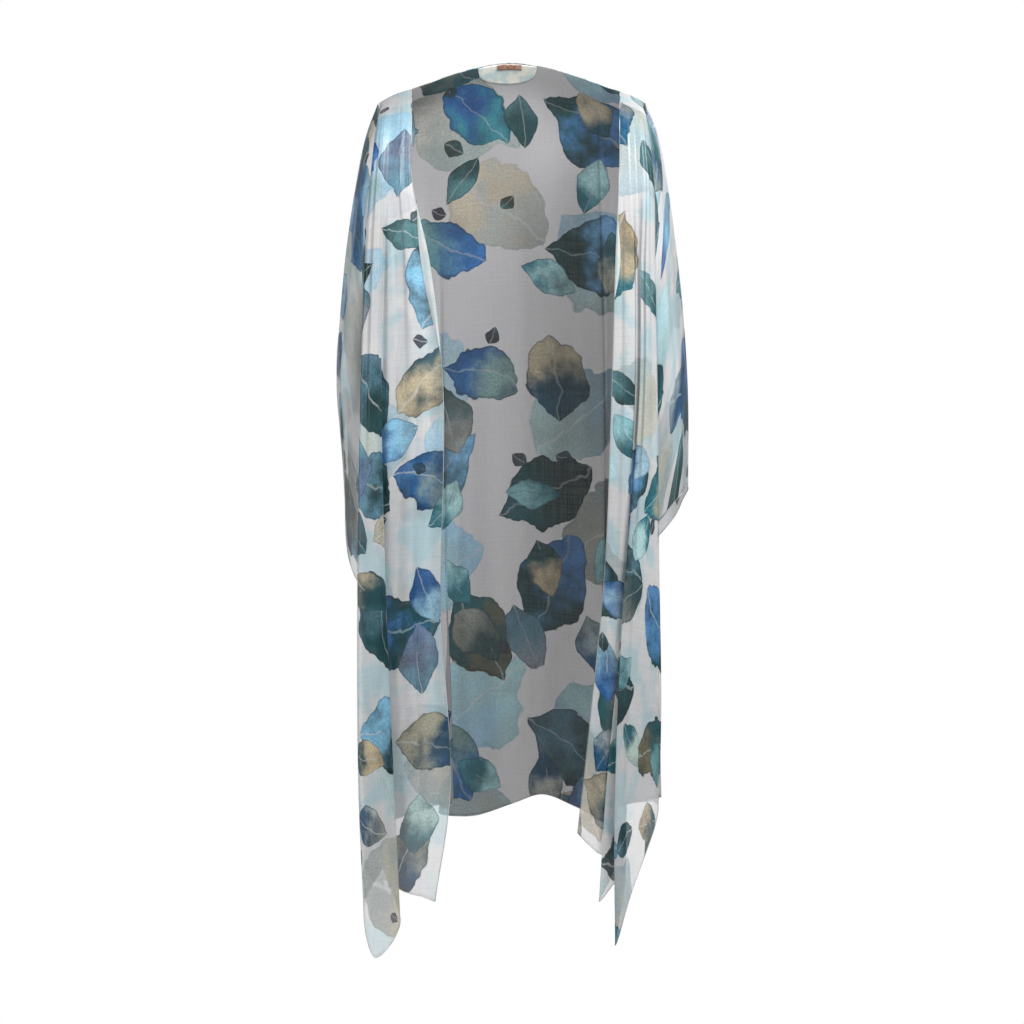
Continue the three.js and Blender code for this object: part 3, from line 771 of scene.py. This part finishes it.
def leaves(nodes, cut, wobble, layer):
    """One layer of leaves: their mask with paler midribs, dried rims, ways along and random numbers."""
    placed = nodes.scale(nodes.vector("ADD", cut, (*layer["shift"], 0.0)), 1 / layer["cell"])
    point = nodes.vector("ADD", placed, wobble)
    cells = nodes.add("ShaderNodeTexVoronoi", voronoi_dimensions="2D", feature="F1")
    names = ("Vector", "Scale", "Randomness")
    nodes.feed([cells.inputs[name] for name in names], (point, 1.0, SCATTER))
    chance = nodes.add("ShaderNodeSeparateColor")
    nodes.link(cells.outputs["Color"], chance.inputs[0])
    turn = nodes.add("ShaderNodeVectorRotate", rotation_type="Z_AXIS")
    nodes.link(nodes.vector("SUBTRACT", point, cells.outputs["Position"]), turn.inputs["Vector"])
    nodes.link(nodes.math("MULTIPLY", chance.outputs["Red"], 2 * math.pi), turn.inputs["Angle"])
    axes = nodes.add("ShaderNodeSeparateXYZ")
    nodes.link(turn.outputs[0], axes.inputs[0])
    size = nodes.math("MULTIPLY_ADD", chance.outputs["Blue"], SIZES["more"], SIZES["least"])
    along = nodes.math("DIVIDE", axes.outputs["X"], nodes.math("MULTIPLY", size, layer["length"]))
    taper = nodes.math("SUBTRACT", 1.0, nodes.math("POWER", nodes.math("ABSOLUTE", along), TAPER))
    half = nodes.math("MULTIPLY", nodes.math("MULTIPLY", taper, layer["width"]), size)
    aside = nodes.math("ABSOLUTE", axes.outputs["Y"])
    inside = nodes.math("SUBTRACT", half, aside)
    kept = nodes.math("GREATER_THAN", chance.outputs["Green"], layer["left_out"])
    midrib = nodes.step(aside, *MIDRIB["half_width"], MIDRIB["strength"], 1.0)
    mask = nodes.math("MULTIPLY", nodes.math("MULTIPLY", nodes.step(inside, *LEAF_EDGE), midrib), kept)
    return mask, nodes.step(inside, *RIM_SPAN), along, chance.outputs["Blue"]


def print_colours(nodes, cut, ground, haze, dye_dulling_and_shade):
    """The colour of the printed cloth and how dyed it is, from 0 to 1.

    The haze tints the ground in places, the last value dulls the dyes, and inside the back it is painted
    shade.
    """
    ripple = nodes.noise(cut, **RIPPLE)
    pool = nodes.noise(cut, **POOL)
    sway = nodes.add("ShaderNodeCombineXYZ")
    for socket, noise in zip(sway.inputs, (ripple, pool)):
        nodes.link(nodes.math("MULTIPLY_ADD", noise, WOBBLE, -WOBBLE / 2), socket)
    wobble = sway.outputs[0]
    # The grain's speckle also carries the darkening of the dyes: painted shade on the inside of the back.
    speckle = nodes.vary(nodes.noise(cut, **GRAIN), *(tone * dye_dulling_and_shade for tone in SPECKLE))
    drift = nodes.math("MULTIPLY_ADD", pool, DRIFT, -DRIFT / 2)
    hazy = [part * tint for part, tint in zip(ground, haze)]
    colour = nodes.mix(nodes.step(ripple, *HAZE_SPAN), ground, hazy)
    dye = 0.0
    for layer in PRINT_LAYERS:
        mask, rim, along, chance = leaves(nodes, cut, wobble, layer)
        share = nodes.step(nodes.math("ADD", along, drift), *DYE_CHANGE)
        wash = nodes.mix(share, nodes.ramp(chance, layer["first"]), nodes.ramp(chance, layer["second"]))
        rim = nodes.math("MULTIPLY", rim, layer["rim"])
        depth = nodes.math("MULTIPLY", nodes.vary(pool, *layer["depth"]), speckle)
        wash = nodes.mix(rim, nodes.scale(wash, depth), DRIED_RIM, "MULTIPLY")
        amount = nodes.math("MULTIPLY", mask, layer["strength"])
        colour = nodes.mix(amount, colour, wash)
        dye = nodes.math("MAXIMUM", dye, amount)
    return colour, dye


def threads(nodes, cut):
    """The fine crossing threads as a height, and their slubs as an uneven tone about 0.5."""
    axes = nodes.add("ShaderNodeSeparateXYZ")
    nodes.link(cut, axes.inputs[0])
    waves = [
        nodes.math("SINE", nodes.math("MULTIPLY", axes.outputs[axis], 2 * math.pi / spacing))
        for axis, spacing in THREAD_SPACING.items()
    ]
    slubs = [
        nodes.noise(nodes.vector("MULTIPLY", cut, stretch), **SLUB_TONE)
        for stretch in SLUB_STRETCHES
    ]
    uneven = nodes.math("MULTIPLY", nodes.math("ADD", *slubs), 0.5)
    return nodes.math("ADD", *waves), uneven


def around(middle, play):
    return middle - play, middle + play


def silk(name):
    """Sheer printed silk for one face of a shell. Two faces together cover what the whole cloth does."""
    look = SILKS[name]
    nodes = Nodes("silk_" + name)
    cut = nodes.add("ShaderNodeAttribute", attribute_name="cut").outputs["Vector"]
    height, uneven = threads(nodes, cut)
    colour, dye = print_colours(nodes, cut, look["ground"], look["haze"], look["dye_dulling_and_shade"])
    bare, dyed = (1 - math.sqrt(1 - look[cover]) for cover in ("bare", "dyed"))
    cover = nodes.step(dye, 0.0, 1.0, bare, dyed)
    nodes.surface(
        colour=nodes.scale(colour, nodes.vary(uneven, *around(1, look["slub"]))),
        alpha=nodes.math("MULTIPLY", cover, nodes.vary(uneven, *around(1, ALPHA_PLAY))),
        roughness=nodes.vary(uneven, *around(look["roughness"], ROUGHNESS_PLAY)),
        specular=look["specular"],
        sheen=look["sheen"],
        sheen_roughness=SHEEN_ROUGHNESS,
    )
    nodes.bump(height, *WEAVE_BUMP)
    return nodes.material


def hem_material():
    """The rolled hems: a few turns of the silk with fine stitches and traces of dye."""
    nodes = Nodes("rolled_hem")
    position = nodes.add("ShaderNodeTexCoord").outputs["Object"]
    uneven = nodes.noise(position, **HEM_LOOK["tone"])
    traces = nodes.step(uneven, *HEM_LOOK["tone_span"])
    nodes.surface(
        colour=nodes.ramp(traces, (STONE, GROUND, GROUND, SEA)),
        alpha=nodes.vary(uneven, *HEM_LOOK["cover"]),
        roughness=nodes.vary(uneven, *HEM_LOOK["roughness"]),
        sheen=HEM_LOOK["sheen"],
    )
    nodes.bump(nodes.noise(position, **HEM_LOOK["stitches"]), *HEM_LOOK["bump"])
    return nodes.material


def doubled_silk(name):
    """Silk that lies double, bare but for a pale wash. Its cover is that of each face."""
    nodes = Nodes("silk_" + name)
    cut = nodes.add("ShaderNodeAttribute", attribute_name="cut").outputs["Vector"]
    height, uneven = threads(nodes, cut)
    wash = nodes.step(nodes.noise(cut, **DOUBLED_LOOK["wash"]), *DOUBLED_LOOK["wash_span"])
    nodes.surface(
        colour=nodes.mix(wash, DOUBLED[name]["ground"], PALE_WASH),
        alpha=nodes.vary(uneven, *around(DOUBLED[name]["cover"], ALPHA_PLAY)),
        roughness=nodes.vary(uneven, *DOUBLED_LOOK["roughness"]),
        sheen=DOUBLED_LOOK["sheen"],
    )
    nodes.bump(height, *DOUBLED_LOOK["bump"])
    return nodes.material


def tape_material():
    """Rust-brown woven tape, ribbed across."""
    nodes = Nodes("woven_tape")
    position = nodes.add("ShaderNodeTexCoord").outputs["Object"]
    uneven = nodes.noise(position, **TAPE_LOOK["tone"])
    nodes.surface(
        colour=nodes.ramp(nodes.vary(uneven), TAPE_BROWNS),
        roughness=nodes.vary(uneven, *TAPE_LOOK["roughness"]),
    )
    ribs = nodes.add("ShaderNodeTexWave", wave_type="BANDS", bands_direction="X")
    nodes.feed((ribs.inputs["Vector"], ribs.inputs["Scale"]), (position, TAPE_LOOK["rib_scale"]))
    nodes.bump(ribs.outputs["Fac"], *TAPE_LOOK["bump"])
    return nodes.material


def away_from_axis(centre_x, centre_y):
    """Directions away from an upright axis, which tell a shell's outer face from its inner one."""
    def directions(grid):
        out = grid - np.array([centre_x, centre_y, 0.0])
        out[..., 2] = 0
        return out
    return directions


def finish(obj, slot, *materials, stands_for=None):
    """Gives a piece its materials and its body, and hides the node that it stands for. The slot is not used.
    """
    for material in materials:
        obj.data.materials.append(material)
    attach(obj, "root")
    if stands_for:
        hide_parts(stands_for)
    return obj


def border(grid, where):
    if where == "bottom":
        return grid[-1]
    if where == "first":
        return grid[:, 0]
    neck = grid[0]
    return neck[np.abs(neck[:, 0]) < NECK_HALF_WIDTH + NECK_HEM_PAST]


def rolled_hems(node, grid, closed, material):
    trims = []
    for word, where in HEMS[node]:
        name = f"{node}_rolled_hem" if word == "hem" else f"{node}_{word}_hem"
        trims.append(finish(tube(name, border(grid, where) * MM, HEM_RADIUS * MM, closed), "silk", material))
    return trims


def panel(node, grid, looks, hem_look):
    """The cloth of a node, a thin closed shell, with its rolled hems."""
    closed = node.startswith("sleeve")
    centre = grid.reshape(-1, 3).mean(axis=0) if closed else (0.0, 0.0)
    obj = shell(node + "_cloth", grid, away_from_axis(centre[0], centre[1]), closed, PRINT_OFFSETS[node])
    finish(obj, "silk", *looks, stands_for=node)
    trims = rolled_hems(node, grid, closed, hem_look)


def neck_patch(name, grid, patch, lift):
    """A closed patch on the inside of the back neck: the back's own points, moved in by lift."""
    top = grid[0, :, 0]
    places = np.linspace(-1, 1, patch["columns"] + 1)
    columns = np.interp(patch["middle"] + places * patch["half_width"], top, np.arange(len(top)))
    left = np.floor(columns).astype(int)
    share = (columns - left)[None, :, None]
    strands = grid[:, left] * (1 - share) + grid[:, left + 1] * share
    steps = np.linalg.norm(np.diff(strands, axis=0), axis=-1)
    fallen = np.concatenate([np.zeros((1, len(places))), np.cumsum(steps, axis=0)])
    bottoms = lerp(patch["side_bottom"], patch["bottom"], np.sqrt(1 - places**2))
    rows = []
    for down in np.linspace(0, 1, patch["rows"] + 1):
        wanted = lerp(patch["top"], bottoms, down)
        rows.append([
            [np.interp(wanted[k], fallen[:, k], strands[:, k, axis]) for axis in range(3)]
            for k in range(len(places))
        ])
    points = np.array(rows)
    inward = normals_of(points)
    inward *= -np.sign(inward[..., 1:2])
    return shell(name, points + inward * lift, away_from_axis(0.0, 0.0), thick=PATCH_THICK)


def turned_edge(name, grid, edge):
    """Where a front's edge has turned over on itself: a slim pointed strip that lies on it along its edge."""
    share = np.linspace(0, 1, TURNED_ROWS)
    stations = np.linspace(0, HEM, ROWS)
    rows = np.interp(lerp(edge["start"], edge["end"], share), stations, np.arange(ROWS))
    widths = edge["least"] + edge["width"] * np.sin(np.pi * share ** edge["skew"])
    strip = []
    for row, width in zip(rows, widths):
        above = int(row)
        line = lerp(grid[above], grid[above + 1], row - above)
        along = np.concatenate([[0], np.cumsum(np.linalg.norm(np.diff(line, axis=0), axis=-1))])
        wanted = np.linspace(0, width, TURNED_COLUMNS)
        strip.append(np.stack([np.interp(wanted, along, line[:, axis]) for axis in range(3)], axis=-1))
    strip = np.array(strip)
    bulge = np.sin(np.pi * np.linspace(0, 1, TURNED_COLUMNS)) * edge["bulge"]
    strip[..., 1] -= SILK_THICK + SEAM_GAP + bulge[None, :]
    return shell(name, strip, away_from_axis(0.0, 0.0))


def add_panels(grids):
    looks = {name: silk(name) for name in SILKS}
    hem_look = hem_material()
    for node, grid in grids.items():
        before = "back_" if node == "back" else ""
        panel(node, grid, (looks[before + "outer"], looks[before + "inner"]), hem_look)


def add_turned_edges(grids):
    look = doubled_silk("turned")
    for node, edge in TURNED_EDGES.items():
        finish(turned_edge(node + "_turned_edge", grids[node], edge), "silk", look, look)


def add_neck_pieces(back):
    """The facing on the back's inside, and the tab on the facing."""
    facing_lift = (SILK_THICK + PATCH_THICK) / 2 + SEAM_GAP
    label_lift = facing_lift + PATCH_THICK + SEAM_GAP
    facing = neck_patch("neck_facing_cloth", back, FACING, facing_lift)
    cream = doubled_silk("facing")
    finish(facing, "facing", cream, cream, stands_for="neck_facing")
    tape = tape_material()
    tab = neck_patch("neck_tab", back, LABEL, label_lift)
    finish(tab, "label", tape, tape, stands_for="neck_label")


def area_light(name, location, target, size, energy):
    light = bpy.data.lights.new(name, "AREA")
    light.shape = "DISK"
    light.size = size
    light.energy = energy
    obj = add_object(name, light)
    obj.location = location
    obj.rotation_euler = (Vector(target) - Vector(location)).to_track_quat("-Z", "Y").to_euler()


def floor():
    """A pale floor well below the hem."""
    corners = [(-1, -1), (1, -1), (1, 1), (-1, 1)]
    verts = [(x * FLOOR["half"], y * FLOOR["half"], FLOOR["height"]) for x, y in corners]
    obj = add_mesh("floor", verts, [(0, 1, 2, 3)])
    pale = Nodes("pale_floor")
    pale.surface(colour=FLOOR["colour"], roughness=FLOOR["roughness"])
    obj.data.materials.append(pale.material)


def surround():
    """A white surround for the camera, which lights the kaftan as a soft and weaker sky."""
    world = bpy.data.worlds.new("studio")
    bpy.context.scene.world = world
    world.use_nodes = True
    tree = world.node_tree
    tree.nodes.clear()
    output = tree.nodes.new("ShaderNodeOutputWorld")
    choose = tree.nodes.new("ShaderNodeMixShader")
    path = tree.nodes.new("ShaderNodeLightPath")
    tree.links.new(path.outputs["Is Camera Ray"], choose.inputs[0])
    for socket, look in zip(choose.inputs[1:], (SKYLIGHT, SURROUND)):
        background = tree.nodes.new("ShaderNodeBackground")
        background.inputs["Color"].default_value = (*look["colour"], 1)
        background.inputs["Strength"].default_value = look["strength"]
        tree.links.new(background.outputs[0], socket)
    tree.links.new(choose.outputs[0], output.inputs["Surface"])


def camera():
    data = bpy.data.cameras.new("camera")
    data.sensor_width = SENSOR
    data.lens = SENSOR * CAMERA_DISTANCE / FRAME_HEIGHT
    data.clip_end = CAMERA_REACH
    obj = add_object("camera", data)
    obj.location = (0, -CAMERA_DISTANCE, FRAME_MIDDLE)
    obj.rotation_euler = (math.pi / 2, 0, 0)
    bpy.context.scene.camera = obj


def picture_settings():
    """Plain colours, and how often light passes through cloth and bounces."""
    bpy.context.scene.view_settings.view_transform = "Standard"
    for setting, count in BOUNCES.items():
        setattr(bpy.context.scene.cycles, setting, count)


grids = {
    "back": back_grid(),
    "front_right": front_grid(FRONT_RIGHT_FOLDS, -1, FRONT_RIGHT_CREASES),
    "front_left": front_grid(FRONT_LEFT_FOLDS, 1, FRONT_LEFT_CREASES),
    "sleeve_right": sleeve_grid(SLEEVE_RIGHT_RINGS, -1),
    "sleeve_left": sleeve_grid(SLEEVE_LEFT_RINGS, 1),
}
add_panels(grids)
add_turned_edges(grids)
add_neck_pieces(grids["back"])
floor()
surround()
for light in LIGHTS:
    area_light(*light)
camera()
picture_settings()
